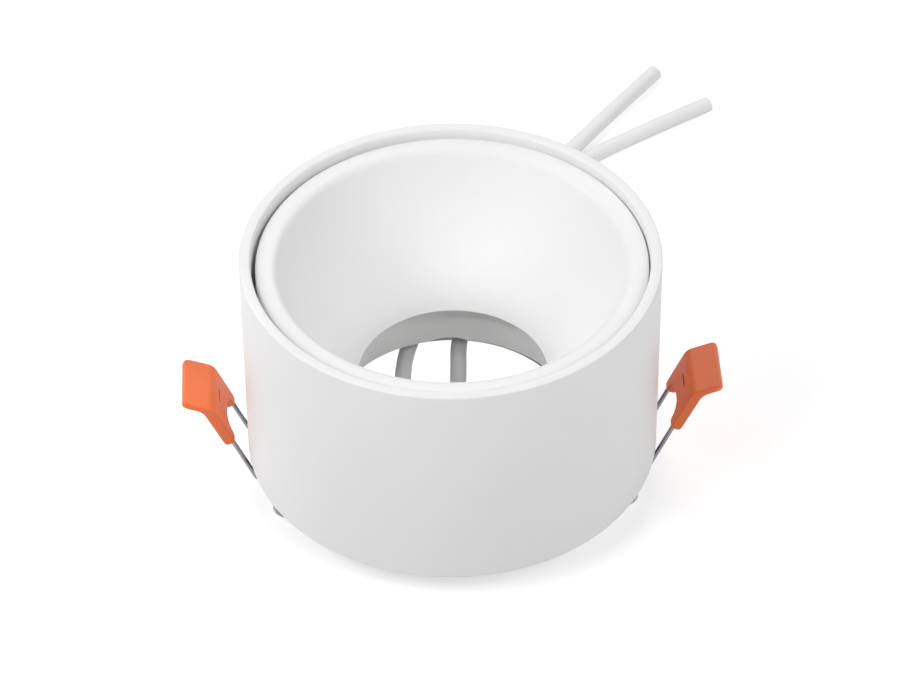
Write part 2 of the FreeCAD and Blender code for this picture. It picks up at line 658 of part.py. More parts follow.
def make_contact(side):
    """Bent strip behind a keyhole: a base on the cover and two jaws for the lamp's pin."""
    x = HOLDER_X+side
    half = CONTACT_JAW/2
    front = COVER_Y-CONTACT_LENGTH
    section = [
        (x-half-CONTACT_SHEET, front, 0),
        (x-half-CONTACT_SHEET, COVER_Y, CONTACT_BEND_R+CONTACT_SHEET),
        (x+half+CONTACT_SHEET, COVER_Y, CONTACT_BEND_R+CONTACT_SHEET),
        (x+half+CONTACT_SHEET, front, 0),
        (x+half, front, 0),
        (x+half, COVER_Y-CONTACT_SHEET, CONTACT_BEND_R),
        (x-half, COVER_Y-CONTACT_SHEET, CONTACT_BEND_R),
        (x-half, front, 0),
    ]
    low = HOLDER_Z-CONTACT_WIDTH/2
    return Part.Face(outline(section, lambda u, v: Vector(u, v, low))).extrude(Vector(0, 0, CONTACT_WIDTH))


def make_lead(name, route):
    """Round tube along straight runs joined by tangent arcs, each as large as its runs allow."""
    points = [Vector(*p) for p in route]
    edges = []
    start = points[0]
    radii = []
    for before, here, after in zip(points, points[1:], points[2:]):
        back = before-here
        ahead = after-here
        turn = math.pi-back.getAngle(ahead)
        shorter = min(back.Length, ahead.Length)
        radius = LEAD_BEND_SHARE*shorter/math.tan(turn/2)
        radii.append(radius)
        reach = radius*math.tan(turn/2)
        back.normalize()
        ahead.normalize()
        first = here+back*reach
        last = here+ahead*reach
        inner = (back+ahead).normalize()
        mid = here+inner*(radius/math.cos(turn/2)-radius)
        edges.append(Part.LineSegment(start, first).toShape())
        edges.append(Part.Arc(first, mid, last).toShape())
        start = last
    edges.append(Part.LineSegment(start, points[-1]).toShape())
    path = Part.Wire(edges)
    section = Part.Wire([Part.makeCircle(LEAD_R, points[0], points[1]-points[0])])
    tube = path.makePipeShell([section], True, False, 0)
    share = tube.Volume/(math.pi*LEAD_R**2*path.Length)
    print(name, "length %.1f" % path.Length, "least radius %.1f" % min(radii), "volume share %.4f" % share)
    return tube


def build():
    """All pieces by name."""
    spring = make_spring()
    clip = {
        "clip_bracket": make_bracket(),
        "clip_pin": make_pin(),
        "clip_spring": spring,
        "clip_grip": make_grip(spring),
    }
    pieces = {
        "housing": make_housing(),
        "reflector_cup": make_cup(),
        "cup_screws": make_cup_screws(),
        "bracket_screws": make_bracket_screws(),
        "lampholder_body": make_holder_body(),
        "lampholder_cover": make_holder_cover(),
        "lampholder_rivets": make_rivets(),
        "lampholder_contact_left": make_contact(HOLDER_SIDES[0]),
        "lampholder_contact_right": make_contact(HOLDER_SIDES[1]),
        "lead_left": make_lead("lead_left", LEAD_A_ROUTE),
        "lead_right": make_lead("lead_right", LEAD_B_ROUTE),
    }
    for name, shape in clip.items():
        pieces["right_"+name] = shape
        pieces["left_"+name] = around(shape, 180)
    return pieces


os.makedirs("parts", exist_ok=True)
for name, shape in build().items():
    shape.exportStep("parts/"+name+".step")
    state = "valid" if shape.isValid() else "NOT VALID"
    print(name, shape.ShapeType, len(shape.Solids), state, round(shape.Volume, 1))
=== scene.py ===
"""Looks of a recessed spotlight housing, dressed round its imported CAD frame.

The fitting stands on the feet of its clip brackets with its light opening up (+Z). All lengths in the
classes are millimetres, turned to metres where a mesh is made.
"""

import json
import logging
import math
from collections.abc import Callable, Iterable, Sequence
from dataclasses import dataclass, field
from enum import Enum
from typing import ClassVar

import bmesh
import bpy
from mathutils import Euler, Matrix, Quaternion, Vector

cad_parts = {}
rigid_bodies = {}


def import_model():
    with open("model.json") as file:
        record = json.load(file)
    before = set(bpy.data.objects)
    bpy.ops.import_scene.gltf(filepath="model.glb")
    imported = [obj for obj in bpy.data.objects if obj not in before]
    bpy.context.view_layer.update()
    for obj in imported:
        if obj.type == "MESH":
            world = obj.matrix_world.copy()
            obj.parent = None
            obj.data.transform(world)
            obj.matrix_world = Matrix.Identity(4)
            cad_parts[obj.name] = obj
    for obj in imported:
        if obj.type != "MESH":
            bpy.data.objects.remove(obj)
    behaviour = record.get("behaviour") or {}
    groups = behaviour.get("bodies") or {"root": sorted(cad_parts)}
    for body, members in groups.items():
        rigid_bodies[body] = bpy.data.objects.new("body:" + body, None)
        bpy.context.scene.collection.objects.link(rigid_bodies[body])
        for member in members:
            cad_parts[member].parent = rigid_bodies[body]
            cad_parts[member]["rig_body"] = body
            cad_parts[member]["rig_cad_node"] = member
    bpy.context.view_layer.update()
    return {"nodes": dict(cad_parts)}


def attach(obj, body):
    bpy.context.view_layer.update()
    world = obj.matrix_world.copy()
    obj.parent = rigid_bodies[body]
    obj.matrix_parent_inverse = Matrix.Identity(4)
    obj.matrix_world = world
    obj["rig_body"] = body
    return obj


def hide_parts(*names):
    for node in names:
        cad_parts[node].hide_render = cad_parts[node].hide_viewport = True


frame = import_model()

log = logging.getLogger("spotlight")

MM = 0.001
SAME_PLACE_MM = 0.01
DRILL_PAST = 1
TURNED_EDGE_STEPS = 4
MOULDED_EDGE_STEPS = 6
FINE_SHAPE_DEG = 50

Point = tuple[float, float, float]
Settings = dict[str, object]


class Joining(Enum):
    """How a tool body changes the body it is used on."""

    ADD = "UNION"
    CUT = "DIFFERENCE"
    KEEP_COMMON = "INTERSECT"


class Picked(Enum):
    """What part of a mesh a selection is made of, and its select mode."""

    VERTS = (True, False, False)
    EDGES = (False, True, False)
    FACES = (False, False, True)


class Side(Enum):
    """The two clips, by the turn about the housing's axis that puts each in its place."""

    RIGHT = 0
    LEFT = 180

    @property
    def label(self) -> str:
        """The side's name, as the CAD nodes have it."""
        return self.name.lower()


def metres(point: Iterable[float]) -> Vector:
    """A point given in millimetres, in metres."""
    return Vector(tuple(part*MM for part in point))


def outward(azimuth: float, elevation: float) -> Vector:
    """Direction from the fitting to what stands at an azimuth and elevation in degrees, 0, 0 in front."""
    turn, rise = math.radians(azimuth), math.radians(elevation)
    return Vector((math.sin(turn)*math.cos(rise), -math.cos(turn)*math.cos(rise), math.sin(rise)))


def linear(shade: str) -> tuple[float, float, float, float]:
    """Turns an sRGB hex colour into linear light.

    Args:
        shade: Six hex digits, such as "F4F4F2".

    Returns:
        Red, green, blue and an alpha of 1.
    """
    parts = [int(shade[i:i+2], 16)/255 for i in (0, 2, 4)]
    lit = [part/12.92 if part <= 0.04045 else ((part+0.055)/1.055)**2.4 for part in parts]
    return lit[0], lit[1], lit[2], 1.0


def add_node(
        tree: bpy.types.NodeTree, kind: str, inputs: Settings | None = None, **settings: object,
        ) -> bpy.types.Node:
    """Adds one node to a tree, with its settings and links.

    Args:
        tree: The tree that gets the node.
        kind: The node's type, such as "ShaderNodeBump".
        inputs: Input name or number to a value, or to the output socket that is linked in.
        **settings: The node's own properties.

    Returns:
        The node.
    """
    made = tree.nodes.new(kind)
    for name, value in settings.items():
        setattr(made, name, value)
    for name, value in (inputs or {}).items():
        if isinstance(value, bpy.types.NodeSocket):
            tree.links.new(value, made.inputs[name])
        else:
            made.inputs[name].default_value = value
    return made


def grain(size_mm: float) -> float:
    """Texture scale on Object coordinates for a grain of a size in millimetres."""
    return 1/(size_mm*MM)


@dataclass(frozen=True)
class Finish:
    """A surface: its colour, how it takes light, and the fine relief that its making leaves."""

    name: str
    slot: str
    shade: str
    worn_shade: str
    roughness: float
    roughness_swing: float = 0.08
    metallic: float = 0.0
    ior: float = 1.5
    grain_mm: float = 0.5
    grain_depth_mm: float = 0.01
    patch_mm: float = 18.0
    stretch: Point = (1.0, 1.0, 1.0)

    def details(self, tree: bpy.types.NodeTree, shader: bpy.types.Node, where: bpy.types.NodeSocket) -> None:
        """Adds what only this kind of finish has."""

    def material(self) -> bpy.types.Material:
        """Builds the finish as a node material.

        Returns:
            The material, made once and shared by every piece with this finish.
        """
        if self.name in bpy.data.materials:
            return bpy.data.materials[self.name]
        made = bpy.data.materials.new(self.name)
        made.use_nodes = True
        tree = made.node_tree
        tree.nodes.clear()
        where = add_node(tree, "ShaderNodeTexCoord").outputs["Object"]
        run = add_node(tree, "ShaderNodeMapping", {"Vector": where, "Scale": self.stretch}).outputs["Vector"]
        patches = add_node(
            tree, "ShaderNodeTexNoise", {"Vector": where, "Scale": grain(self.patch_mm), "Detail": 4.0})
        colour = add_node(
            tree, "ShaderNodeMix",
            {"Factor": patches.outputs["Fac"], "A": linear(self.shade), "B": linear(self.worn_shade)},
            data_type="RGBA",
        )
        fine = add_node(
            tree, "ShaderNodeTexNoise", {"Vector": run, "Scale": grain(self.grain_mm), "Detail": 3.0})
        rough = add_node(tree, "ShaderNodeMapRange", {
            "Value": fine.outputs["Fac"],
            "To Min": self.roughness-self.roughness_swing,
            "To Max": self.roughness+self.roughness_swing,
        })
        relief = add_node(tree, "ShaderNodeBump", {
            "Height": fine.outputs["Fac"],
            "Strength": 1.0,
            "Distance": self.grain_depth_mm*MM,
        })
        shader = add_node(tree, "ShaderNodeBsdfPrincipled", {
            "Base Color": next(o for o in colour.outputs if o.type == "RGBA"),
            "Roughness": rough.outputs["Result"],
            "Metallic": self.metallic,
            "IOR": self.ior,
            "Normal": relief.outputs["Normal"],
        })
        self.details(tree, shader, where)
        add_node(tree, "ShaderNodeOutputMaterial", {"Surface": shader.outputs["BSDF"]})
        return made


@dataclass(frozen=True)
class SoftMoulding(Finish):
    """Soft plastic that light goes some way into before it comes back out."""

    depth_mm: float = 0.5
    share: float = 0.2

    def details(self, tree: bpy.types.NodeTree, shader: bpy.types.Node, where: bpy.types.NodeSocket) -> None:
        """Lets light in under the surface, red furthest, so that thin edges glow."""
        shader.inputs["Subsurface Weight"].default_value = self.share
        shader.inputs["Subsurface Radius"].default_value = (1.0, 0.35, 0.12)
        shader.inputs["Subsurface Scale"].default_value = self.depth_mm*MM


class Finishes:
    """Every finish of the fitting, each from what the real one is made of."""

    # Polyester powder coat on the tube: a satin white skin with a faint orange peel.
    housing: ClassVar[Finish] = Finish(
        "white_powder_coat", "housing_paint", "F3F3F3", "EFEFEF", 0.5, grain_mm=0.9, grain_depth_mm=0.004)
    # Sprayed matt paint on the die-cast cup: no gleam, so that the lamp's light spreads evenly.
    cup: ClassVar[Finish] = Finish(
        "matt_white_paint", "cup_paint", "F5F5F5", "F2F2F2", 0.62, grain_mm=0.45, grain_depth_mm=0.003)
    # Zinc-plated sheet: bluish grey, with the fine lines of the rolling mill.
    bracket: ClassVar[Finish] = Finish(
        "zinc_plated_sheet", "bracket_steel", "B9BCC1", "A6AAB0", 0.34, 0.1, 1.0,
        grain_mm=0.25, grain_depth_mm=0.004, patch_mm=5.0, stretch=(1.0, 0.08, 1.0))
    # Zinc-plated screws: the same plating over a cold-headed blank.
    screw: ClassVar[Finish] = Finish(
        "zinc_plated_screw", "screw_steel", "BEC0C4", "A9ACB1", 0.28, 0.1, 1.0,
        grain_mm=0.3, grain_depth_mm=0.003, patch_mm=3.0)
    # Turned steel pin, left bare: rings from the lathe tool.
    pin: ClassVar[Finish] = Finish(
        "turned_steel", "pin_steel", "9A9CA0", "85878B", 0.3, 0.1, 1.0,
        grain_mm=0.2, grain_depth_mm=0.004, patch_mm=3.0, stretch=(0.15, 1.0, 0.15))
    # Drawn spring wire: long fine scratches from the die along the wire.
    wire: ClassVar[Finish] = Finish(
        "drawn_spring_wire", "spring_wire", "A2A4A8", "7E8085", 0.26, 0.08, 1.0,
        grain_mm=0.12, grain_depth_mm=0.003, patch_mm=4.0, stretch=(0.2, 1.0, 0.2))
    # Soft moulded vinyl: orange, satin, a little see-through at its thin edges.
    grip: ClassVar[Finish] = SoftMoulding(
        "soft_orange_vinyl", "grip_orange", "F0763A", "EA6D32", 0.38,
        grain_mm=0.3, grain_depth_mm=0.004, patch_mm=6.0)
    # Pressed and fired steatite: off-white, dry to the touch, finely pored.
    ceramic: ClassVar[Finish] = Finish(
        "fired_steatite", "ceramic", "E8E5DD", "DED9CE", 0.7,
        grain_mm=0.35, grain_depth_mm=0.02, patch_mm=5.0)
    # Nickel-plated brass rivets: warm grey where the plating is thin.
    rivet: ClassVar[Finish] = Finish(
        "nickel_plated_brass", "rivet_brass", "CFC7B2", "BDB093", 0.3, 0.1, 1.0,
        grain_mm=0.2, grain_depth_mm=0.003, patch_mm=2.0)
    # Sprung brass strip, a little tarnished.
    contact: ClassVar[Finish] = Finish(
        "brass_strip", "contact_brass", "D2AE62", "B08A45", 0.35, 0.1, 1.0,
        grain_mm=0.2, grain_depth_mm=0.003, patch_mm=2.0)
    # Silicone-coated glass braid: soft white, with the braid just felt through the coat.
    sleeve: ClassVar[Finish] = Finish(
        "silicone_glass_sleeve", "lead_sleeve", "F6F6F6", "F1F1F1", 0.55,
        grain_mm=0.5, grain_depth_mm=0.012, patch_mm=9.0)


class Bench:
    """Mesh work with Blender's own operators, as it is done by hand."""

    @staticmethod
    def clear() -> None:
        """Leaves object mode's selection empty."""
        if bpy.context.mode != "OBJECT":
            bpy.ops.object.mode_set(mode="OBJECT")
        bpy.ops.object.select_all(action="DESELECT")

    @staticmethod
    def only(piece: bpy.types.Object) -> bpy.types.Object:
        """Makes a piece the only selected one, and the active one."""
        Bench.clear()
        piece.select_set(True)
        bpy.context.view_layer.objects.active = piece
        return piece

    @staticmethod
    def named(name: str) -> bpy.types.Object:
        """Gives the primitive that was just added its name."""
        piece = bpy.context.active_object
        piece.name = name
        piece.data.name = name
        return piece

    @staticmethod
    def edit(piece: bpy.types.Object) -> None:
        """Opens a piece in edit mode, all of it selected."""
        Bench.only(piece)
        bpy.ops.object.mode_set(mode="EDIT")
        bpy.ops.mesh.select_all(action="SELECT")

    @staticmethod
    def pick(what: Picked, test: Callable[[Vector], bool]) -> int:
        """Selects what lies where a test says, in edit mode.

        Args:
            what: Vertices, edges or faces.
            test: Says whether a corner, in millimetres, is one of the wanted ones.

        Returns:
            How many were selected.
        """
        bpy.ops.mesh.select_all(action="DESELECT")
        bpy.context.tool_settings.mesh_select_mode = what.value
        mesh = bpy.context.edit_object.data
        shape = bmesh.from_edit_mesh(mesh)
        if what is Picked.VERTS:
            found = [item for item in shape.verts if test(item.co/MM)]
        else:
            items = shape.edges if what is Picked.EDGES else shape.faces
            found = [item for item in items if all(test(corner.co/MM) for corner in item.verts)]
        for item in found:
            item.select_set(True)
        shape.select_flush_mode()
        bmesh.update_edit_mesh(mesh)
        return len(found)

    @staticmethod
    def block(name: str, low: Point, high: Point) -> bpy.types.Object:
        """A block between two corners, to be worked on or used as a tool."""
        Bench.clear()
        middle = metres((a+b)/2 for a, b in zip(low, high))
        bpy.ops.mesh.primitive_cube_add(size=1, location=middle, scale=metres(b-a for a, b in zip(low, high)))
        return Bench.settle(Bench.named(name))

    @staticmethod
    def rod(name: str, radius: float, start: Point, end: Point, sides: int = 48) -> bpy.types.Object:
        """A round bar from one point to another, to be worked on or used as a tool."""
        Bench.clear()
        along = metres(end)-metres(start)
        bpy.ops.mesh.primitive_cylinder_add(
            vertices=sides, radius=radius*MM, depth=along.length, location=metres(start)+along/2,
            rotation=along.to_track_quat("Z", "Y").to_euler())
        return Bench.settle(Bench.named(name))

    @staticmethod
    def settle(piece: bpy.types.Object) -> bpy.types.Object:
        """Puts a piece's place into its mesh, so that its object sits unturned at the origin."""
        Bench.only(piece)
        bpy.ops.object.transform_apply(location=True, rotation=True, scale=True)
        return piece

    @staticmethod
    def apply(piece: bpy.types.Object, kind: str, **settings: object) -> bpy.types.Object:
        """Adds a modifier with its settings and applies it."""
        Bench.only(piece)
        modifier = piece.modifiers.new(kind.lower(), kind)
        for name, value in settings.items():
            setattr(modifier, name, value)
        bpy.ops.object.modifier_apply(modifier=modifier.name)
        return piece

    @staticmethod
    def combine(body: bpy.types.Object, how: Joining, *tools: bpy.types.Object) -> bpy.types.Object:
        """Joins tools to a body or cuts them from it, and removes the tools."""
        for tool in tools:
            Bench.apply(body, "BOOLEAN", operation=how.value, object=tool, solver="EXACT")
            bpy.data.objects.remove(tool)
        return body

    @staticmethod
    def copy(piece: bpy.types.Object, name: str) -> bpy.types.Object:
        """A copy of a piece with a mesh of its own."""
        Bench.only(piece)
        bpy.ops.object.duplicate(linked=False)
        return Bench.named(name)

    @staticmethod
    def turned_copy(piece: bpy.types.Object, name: str, degrees: float) -> bpy.types.Object:
        """A copy of a piece, turned about the housing's axis."""
        made = Bench.copy(piece, name)
        made.rotation_euler.z = math.radians(degrees)
        return Bench.settle(made)

    @staticmethod
    def ring_body(name: str, corners: Sequence[Point], steps: int) -> bpy.types.Object:
        """Turns a closed section about Z, a ring at a time, and rounds its corners.

        Args:
            name: The piece's name.
            corners: The section's corners as (radius, height, rounding), in order round the section.
            steps: How many facets go round the axis.

        Returns:
            The turned body.
        """
        Bench.clear()
        start_r, start_z, _ = corners[0]
        bpy.ops.mesh.primitive_circle_add(vertices=steps, radius=start_r*MM)
        piece = Bench.named(name)
        Bench.edit(piece)
        bpy.ops.transform.translate(value=(0, 0, start_z*MM))
        laps = list(corners)+[corners[0]]
        for (r0, z0, _), (r1, z1, _) in zip(laps, laps[1:]):
            bpy.ops.mesh.extrude_region_move(TRANSFORM_OT_translate={"value": (0, 0, (z1-z0)*MM)})
            bpy.ops.transform.resize(value=(r1/r0, r1/r0, 1), center_override=(0, 0, z1*MM))
        bpy.ops.mesh.select_all(action="SELECT")
        bpy.ops.mesh.remove_doubles(threshold=SAME_PLACE_MM*MM/2)
        bpy.ops.mesh.normals_make_consistent(inside=False)
        count = len(corners)
        for i, (r, z, rounding) in enumerate(corners):
            if rounding <= 0:
                continue
            before = Vector((corners[i-1][0]-r, corners[i-1][1]-z))
            after = Vector((corners[(i+1) % count][0]-r, corners[(i+1) % count][1]-z))
            reach = rounding/math.tan(before.angle(after)/2)
            Bench.pick(Picked.EDGES, lambda p: abs(math.hypot(p.x, p.y)-r)+abs(p.z-z) < SAME_PLACE_MM)
            bpy.ops.mesh.bevel(offset=reach*MM, segments=TURNED_EDGE_STEPS, affect="EDGES")
        bpy.ops.object.mode_set(mode="OBJECT")
        return piece

    @staticmethod
    def smooth(piece: bpy.types.Object, degrees: float = 32.0) -> bpy.types.Object:
        """Shades a piece smooth, but for edges sharper than an angle."""
        Bench.only(piece)
        bpy.ops.object.shade_smooth_by_angle(angle=math.radians(degrees))
        return piece

    @staticmethod
    def tidy(piece: bpy.types.Object) -> bpy.types.Object:
        """Merges doubled corners and drops loose bits that cutting has left."""
        Bench.edit(piece)
        bpy.ops.mesh.remove_doubles(threshold=SAME_PLACE_MM*MM/10)
        bpy.ops.mesh.delete_loose()
        bpy.ops.object.mode_set(mode="OBJECT")
        return piece

    @staticmethod
    def merged_copy(node: str) -> bpy.types.Object:
        """A copy of a CAD node with its triangles joined up and its round faces smooth."""
        piece = Bench.copy(frame["nodes"][node], node+"_surface")
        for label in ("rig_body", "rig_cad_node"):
            if label in piece:
                del piece[label]
        piece.parent = None
        piece.data.materials.clear()
        return Bench.smooth(Bench.tidy(piece))

    @staticmethod
    def hand_over(piece: bpy.types.Object, finish: Finish, body: str, *nodes: str) -> bpy.types.Object:
        """Gives a finished piece its material and its body, and hides the CAD nodes that it stands for."""
        piece.data.materials.clear()
        piece.data.materials.append(finish.material())
        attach(piece, body)
        if nodes:
            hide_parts(*nodes)
        log.info("%s: %s on %s", piece.name, finish.name, body)
        return piece


@dataclass
class Lamp:
    """A lamp that hangs round the fitting and shines at it: a soft square one, or one with a narrow beam."""

    name: str
    azimuth: float
    elevation: float
    watts: float
    side: float = 0.5
    distance: float = 1.0
    aim: Point = (0.0, 0.0, 0.03)
    beam: float = 0.0

    def hang(self) -> bpy.types.Object:
        """Adds the lamp."""
        back = outward(self.azimuth, self.elevation)
        light = bpy.data.lights.new(self.name, "SPOT" if self.beam else "AREA")
        light.energy = self.watts
        if self.beam:
            light.spot_size = math.radians(self.beam)
            light.spot_blend = 1.0
            light.shadow_soft_size = self.side/2
        else:
            light.shape = "SQUARE"
            light.size = self.side
        lamp = bpy.data.objects.new(self.name, light)
        lamp.location = Vector(self.aim)+back*self.distance
        lamp.rotation_euler = (-back).to_track_quat("-Z", "Y").to_euler()
        bpy.context.scene.collection.objects.link(lamp)
        return lamp


@dataclass
class Studio:
    """The photograph's viewpoint, a pale table, a white surround and soft lamps."""

    aim: Point = (-0.30, 0.0, 30.68)
    distance: float = 831.3
    azimuth: float = -2.0
    elevation: float = 41.936
    roll: float = -0.546
    lens: float = 158.635
    table_half: float = 3.0
    table_shade: str = "E4E4E4"
    opening_at: Point = (0.3, 11.2, 0.0)
    opening_r: float = 26.2
    dark_r: float = 28.2
    table_glow: float = 0.5
    surround: float = 0.04
    lamps: list[Lamp] = field(default_factory=lambda: [
        Lamp("left_lamp", -60, 40, 4.4),
        Lamp("side_lamp", -90, 40, 1.8),
        Lamp("back_left_lamp", -120, 40, 1.05),
        Lamp("back_lamp", 180, 40, 2.5),
        Lamp("right_side_lamp", 90, 40, 0.85),
        Lamp("right_lamp", 45, 40, 4.3),
        Lamp("cone_lamp", -5, 50, 6.0, 0.02, aim=(0.006, 0.0205, 0.0275), beam=1.9),
        Lamp("left_grip_lamp", 0, 65, 20.0, 0.02, aim=(-0.052, 0.0, 0.0195), beam=1.15),
    ])

    def camera(self) -> None:
        """Sets the camera where the photograph was taken from, level but for its small roll."""
        back = outward(self.azimuth, self.elevation)
        around = Matrix.Rotation(math.radians(self.azimuth), 3, "Z")
        data = bpy.data.cameras.new("camera")
        data.lens = self.lens
        data.sensor_width = 36.0
        data.clip_start, data.clip_end = 0.05, 20.0
        camera = bpy.data.objects.new("camera", data)
        camera.location = around @ metres(self.aim)+back*self.distance*MM
        camera.rotation_mode = "QUATERNION"
        aimed = (-back).to_track_quat("-Z", "Y")
        camera.rotation_quaternion = aimed @ Quaternion((0, 0, 1), math.radians(self.roll))
        bpy.context.scene.collection.objects.link(camera)
        bpy.context.scene.camera = camera

    def table(self) -> None:
        """Lays the pale table: it takes shadows, and glows only to the camera and in shiny things.

        The glow is full in a circle that is seen through the light opening, as the photograph has it white
        there, none in the ring round that circle, which the chamber's edge hides, and even elsewhere.
        """
        Bench.clear()
        bpy.ops.mesh.primitive_plane_add(size=2*self.table_half)
        plane = Bench.named("table")
        made = bpy.data.materials.new("pale_table")
        made.use_nodes = True
        tree = made.node_tree
        tree.nodes.clear()
        in_opening = self.compare_reach(tree, self.opening_at, self.opening_r, "LESS_THAN")
        beyond = self.compare_reach(tree, self.opening_at, self.dark_r, "GREATER_THAN")
        open_glow = add_node(tree, "ShaderNodeMath", {0: beyond, 1: self.table_glow}, operation="MULTIPLY")
        glow = add_node(tree, "ShaderNodeMath", {0: in_opening, 1: open_glow.outputs[0]}, operation="MAXIMUM")
        seen = self.seen_directly(tree)
        shown = add_node(tree, "ShaderNodeMath", {0: glow.outputs[0], 1: seen}, operation="MULTIPLY")
        plain = add_node(tree, "ShaderNodeBsdfDiffuse", {"Color": linear(self.table_shade)})
        bright = add_node(tree, "ShaderNodeEmission", {"Strength": shown.outputs[0]})
        both = add_node(tree, "ShaderNodeAddShader", {0: plain.outputs[0], 1: bright.outputs[0]})
        add_node(tree, "ShaderNodeOutputMaterial", {"Surface": both.outputs[0]})
        plane.data.materials.append(made)

    @staticmethod
    def compare_reach(
            tree: bpy.types.NodeTree, middle: Point, radius: float, how: str) -> bpy.types.NodeSocket:
        """Socket that is 1 where the table lies within, or beyond, a radius of a point.

        Args:
            tree: The table's node tree.
            middle: The point, in millimetres.
            radius: The radius, in millimetres.
            how: "LESS_THAN" for within it, or "GREATER_THAN" for beyond it.

        Returns:
            The socket.
        """
        where = add_node(tree, "ShaderNodeTexCoord").outputs["Object"]
        reach = add_node(tree, "ShaderNodeVectorMath", {0: where, 1: metres(middle)}, operation="DISTANCE")
        told = add_node(tree, "ShaderNodeMath", {0: reach.outputs["Value"], 1: radius*MM}, operation=how)
        return told.outputs[0]

    @staticmethod
    def seen_directly(tree: bpy.types.NodeTree) -> bpy.types.NodeSocket:
        """Socket that is 1 for rays from the camera, and for those that metal or glass sends on."""
        path = add_node(tree, "ShaderNodeLightPath")
        shiny = add_node(tree, "ShaderNodeMath", {
            0: path.outputs["Is Camera Ray"], 1: path.outputs["Is Glossy Ray"]}, operation="MAXIMUM")
        either = add_node(tree, "ShaderNodeMath", {
            0: shiny.outputs[0], 1: path.outputs["Is Transmission Ray"]}, operation="MAXIMUM")
        return either.outputs[0]

    def surroundings(self) -> None:
        """Fills the room with even light, and shows it white."""
        world = bpy.data.worlds.new("room")
        bpy.context.scene.world = world
        world.use_nodes = True
        tree = world.node_tree
        tree.nodes.clear()
        level = add_node(tree, "ShaderNodeMapRange", {
            "Value": self.seen_directly(tree), "To Min": self.surround, "To Max": 1.0})
        light = add_node(
            tree, "ShaderNodeBackground", {"Color": (1, 1, 1, 1), "Strength": level.outputs["Result"]})
        add_node(tree, "ShaderNodeOutputWorld", {"Surface": light.outputs[0]})

    def build(self) -> None:
        """Makes the whole studio."""
        self.camera()
        self.table()
        self.surroundings()
        for lamp in self.lamps:
            lamp.hang()
        bpy.context.scene.view_settings.view_transform = "Standard"


@dataclass
class Lead:
    """One sleeved lead, as it lies: out of the lamp holder, under the wall and over the table."""

    name: str
    route: list[Point]
    length: float
    radius: float = 1.8
    body: str = "housing"

    def line(self) -> bpy.types.Object:
        """Draws the lead as one smooth curve through its route's bends."""
        data = bpy.data.curves.new(self.name+"_sleeve", "CURVE")
        data.dimensions = "3D"
        data.bevel_depth = self.radius*MM
        data.bevel_resolution = 8
        data.resolution_u = 14
        data.use_fill_caps = True
        spline = data.splines.new("NURBS")
        spline.points.add(len(self.route)-1)
        for point, place in zip(spline.points, self.route):
            point.co = (*metres(place), 1.0)
        spline.order_u = 3
        spline.use_endpoint_u = True
        piece = bpy.data.objects.new(self.name+"_sleeve", data)
        bpy.context.scene.collection.objects.link(piece)
        return piece

    def build(self) -> None:
        piece = Bench.hand_over(self.line(), Finishes.sleeve, self.body, self.name)
        tuple(metres(self.route[0]))


